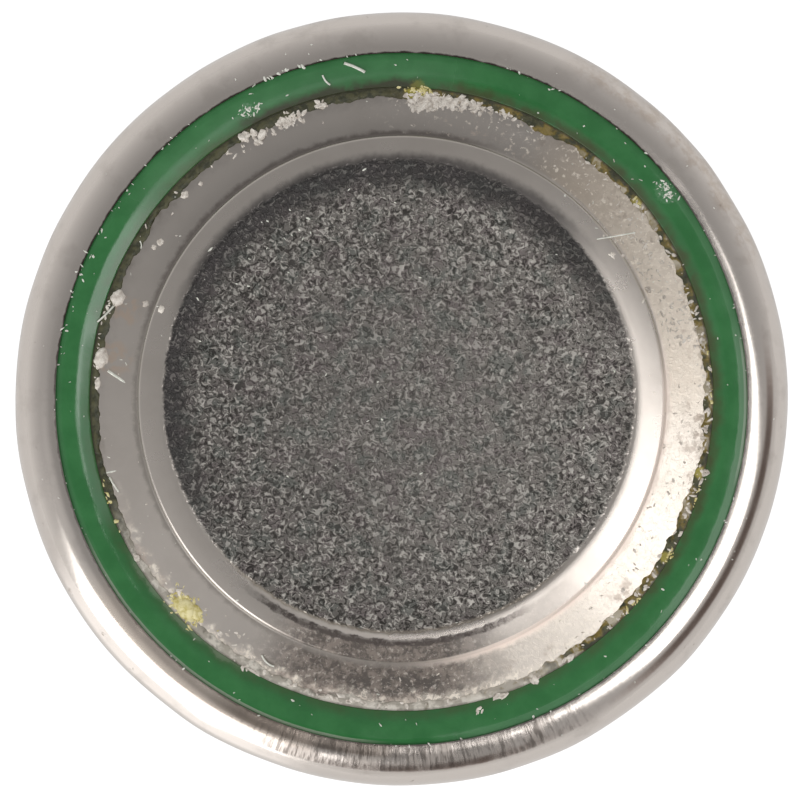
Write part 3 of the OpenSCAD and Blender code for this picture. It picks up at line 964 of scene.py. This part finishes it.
FIBRES = [
    (99.7, 5.09, -17, 0.34, -14, 0.045), (103.7, 4.98, -72, 0.19, 44, 0.027),
    (174.5, 4.41, -34, 0.45, 0, 0.045), (165.8, 4.69, 40, 0.34, 10, 0.03),
    (-165, 4.52, -62, 0.26, 10, 0.03), (-166, 4.55, 8, 0.3, 15, 0.025),
    (39.3, 3.76, 8.5, 0.58, 3, 0.02), (-118.6, 4.36, -70, 0.26, 60, 0.03),
    (150, 4.5, 70, 0.12, 60, 0.02),
]
LUMPS = [
    (160.4, 4.5, 0.2, 1.3), (159.6, 4.08, 0.1, 1), (159.5, 3.82, 0.1, 1.2),
    (172.2, 4.53, 0.22, 1.5),
    (147, 4.3, 0.1, 1.1), (148.5, 4.34, 0.08, 1), (136.7, 4.45, 0.11, 1.1), (133, 4.4, 0.07, 1),
    (177, 4.56, 0.1, 2), (-149, 4.62, 0.09, 1.2),
]
YELLOW_LUMPS = [(-135.6, 4.49, 0.3, 1.25), (-134.2, 4.43, 0.2, 1.3), (-137.4, 4.52, 0.18, 1)]


# ---------------------------------------------------------------- pieces

def dress_inner_nodes():
    """Finishes of the sealed pieces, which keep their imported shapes."""
    black_pellet = powder_finish("black_pellet", (0.02, 0.02, 0.022), (0.08, 0.08, 0.085), 16)
    grey_gel = powder_finish("grey_gel", (0.16, 0.17, 0.18), (0.48, 0.5, 0.52), 9, 0.4)
    finishes = {
        "cathode_pellet": ("cathode_mix", black_pellet),
        "pellet_ring": ("ring_steel", ring_finish()),
        "barrier_film": ("cellulose_film", film_finish()),
        "absorbent_pad": ("felt_pad", felt_finish()),
        "anode_gel": ("zinc_gel", grey_gel),
    }
    for node, (slot, finish) in finishes.items():
        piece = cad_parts[node]
        piece.data.materials.clear()
        piece.data.materials.append(finish)


can = can_piece()
cap = cap_piece()
gasket = gasket_piece()
sealant = sealant_piece()
dress_inner_nodes()

ground = Ground([can, cap, gasket, sealant])
salt = crumb_finish("salt_crystals", (0.52, 0.46, 0.4), (0.88, 0.82, 0.74), 0.3)
strewn("salt_crumbs", ground, SALTS, salt, 1)
dried_lumps("salt_lumps", ground, LUMPS, salt, 4)
crust = crumb_finish("yellow_crust", (0.6, 0.51, 0.16), (0.88, 0.8, 0.45), 0.45)
dried_lumps("yellow_lumps", ground, YELLOW_LUMPS, crust, 6)
strewn("yellow_crumbs", ground, YELLOW_CRUST, crust, 2)
dust = crumb_finish("pale_dust", (0.66, 0.67, 0.59), (0.88, 0.88, 0.8), 0.5)
strewn("dust_specks", ground, DUST, dust, 3)
lint(ground, FIBRES, dust)


# ---------------------------------------------------------------- studio

# Where the surroundings are darkest and palest, as directions from the cell
DARK_HEADING = (-0.042, -0.339, 0.94)
PALE_HEADING = (-0.41, -0.25, 0.875)

TABLE_REACH = 1500
TABLE_DROP = 0.01
# The table is left out inside this radius, under the cell
TABLE_HOLE_R = CAN_R - CAN_CORNER_R - 0.15

# The picture is VIEW_W wide at the height VIEW_Z
LENS = 400
SENSOR_W = 36
VIEW_W = 11.98
VIEW_Z = RIM_Z - 0.3
CAMERA_OFF_AXIS = (-0.0225, -0.015)
CLIP_NEAR, CLIP_FAR = 10, 10000


def softbox(name, azimuth_deg, off_zenith_deg, distance, width, height, strength):
    """A rectangular lamp that faces the cell. Strength is the brightness of its face."""
    lamp = bpy.data.lights.new(name, "AREA")
    lamp.shape = "RECTANGLE"
    lamp.size, lamp.size_y = width * MM, height * MM
    lamp.energy = strength * lamp.size * lamp.size_y * math.pi
    box = bpy.data.objects.new(name, lamp)
    a, t = math.radians(azimuth_deg), math.radians(off_zenith_deg)
    towards = Vector((math.sin(t) * math.cos(a), math.sin(t) * math.sin(a), math.cos(t)))
    box.location = Vector((0, 0, CAP_Z * MM)) + towards * distance * MM
    box.rotation_euler = towards.to_track_quat("Z", "Y").to_euler()
    box.visible_camera = False
    bpy.context.scene.collection.objects.link(box)


def studio_world():
    """Pale surroundings, brightest low down, with dark strips, a dark and a pale spot."""
    world = bpy.data.worlds.new("studio")
    bpy.context.scene.world = world
    world.use_nodes = True
    world.node_tree.nodes.clear()
    g = Graph(world.node_tree)
    direction = g.node("ShaderNodeTexCoord", output="Generated")
    x, y, z = g.axes(direction)
    z = z.math("MAXIMUM", 0)
    g.azimuth = y.math("ARCTAN2", x)
    level = (0.36 + 0.38 * (1 - z) ** 0.5 + 0.2 * (1 - z) ** 2) * (1 - x * 0.08 - y * 0.05)
    off_dark = g.vector("DISTANCE", direction, DARK_HEADING, output="Value")
    level = level * (0.5 + g.step(off_dark, 0.12, 0.26) * 0.5)
    dark_strip = g.arc(-23, 17, 16) * g.between(z, 0.33, 0.58, 0.08)
    dark_strip = dark_strip + g.arc(-85, 10, 8) * g.between(z, 0.22, 0.52, 0.08)
    level = level * (1 - dark_strip * 0.8)
    level = level * (1 - g.arc(-90, 9, 12) * g.step(z, 0.2, 0.4) * 0.3)
    off_pale = g.vector("DISTANCE", direction, PALE_HEADING, output="Value")
    level = level + 0.2 - g.step(off_pale, 0.1, 0.36) * 0.2
    tint = g.blend(dark_strip * 0.7, (0.8, 0.8, 0.8), (0.95, 0.68, 0.58))
    glow = g.node("ShaderNodeBackground", {}, (tint, level))
    g.node("ShaderNodeOutputWorld", {}, (glow,), output=None)


def floor_piece():
    """A white table under the cell. From below it is open, so that the base shows."""
    bm = bmesh.new()
    bmesh.ops.create_grid(bm, x_segments=1, y_segments=1, size=TABLE_REACH * MM)
    bmesh.ops.translate(bm, vec=(0, 0, -TABLE_DROP * MM), verts=bm.verts)
    mesh = bpy.data.meshes.new("table_top")
    bm.to_mesh(mesh)
    bm.free()
    floor = bpy.data.objects.new("table_top", mesh)
    bpy.context.scene.collection.objects.link(floor)
    f = Finish("table_white", Roughness=0.9, Emission_Strength=1)
    camera_ray = f.node("ShaderNodeLightPath", output="Is Camera Ray")
    glossy_ray = f.node("ShaderNodeLightPath", output="Is Glossy Ray")
    lamp_pool = f.arc(-130, 14, 14) * f.step(f.radius, 8, 14)
    shown = camera_ray * 0.93 + glossy_ray * (0.4 + lamp_pool * 0.6)
    base = f.blend(camera_ray, (0.7, 0.7, 0.7), (0.25, 0.25, 0.25))
    base = f.blend(glossy_ray, base, (0.45, 0.45, 0.45))
    from_below = f.node("ShaderNodeNewGeometry", output="Backfacing")
    solid = (1 - from_below) * f.step(f.radius, TABLE_HOLE_R, TABLE_HOLE_R + 0.05)
    mesh.materials.append(f.feed(Base_Color=base, Emission_Color=shown, Alpha=solid))


def camera_above():
    """A long lens straight above the cell, a hair off its axis."""
    lens = bpy.data.cameras.new("camera")
    lens.lens, lens.sensor_width = LENS, SENSOR_W
    lens.clip_start, lens.clip_end = CLIP_NEAR * MM, CLIP_FAR * MM
    height = VIEW_Z + VIEW_W * LENS / SENSOR_W
    camera = bpy.data.objects.new("camera", lens)
    camera.location = Vector((*CAMERA_OFF_AXIS, height)) * MM
    bpy.context.scene.collection.objects.link(camera)
    bpy.context.scene.camera = camera


softbox(
    "key_softbox", azimuth_deg=-29, off_zenith_deg=24.5, distance=250,
    width=100, height=146, strength=2.8,
)
softbox(
    "side_softbox", azimuth_deg=-128, off_zenith_deg=65, distance=300,
    width=240, height=270, strength=2.2,
)
studio_world()
floor_piece()
camera_above()
bpy.context.scene.view_settings.view_transform = "Standard"
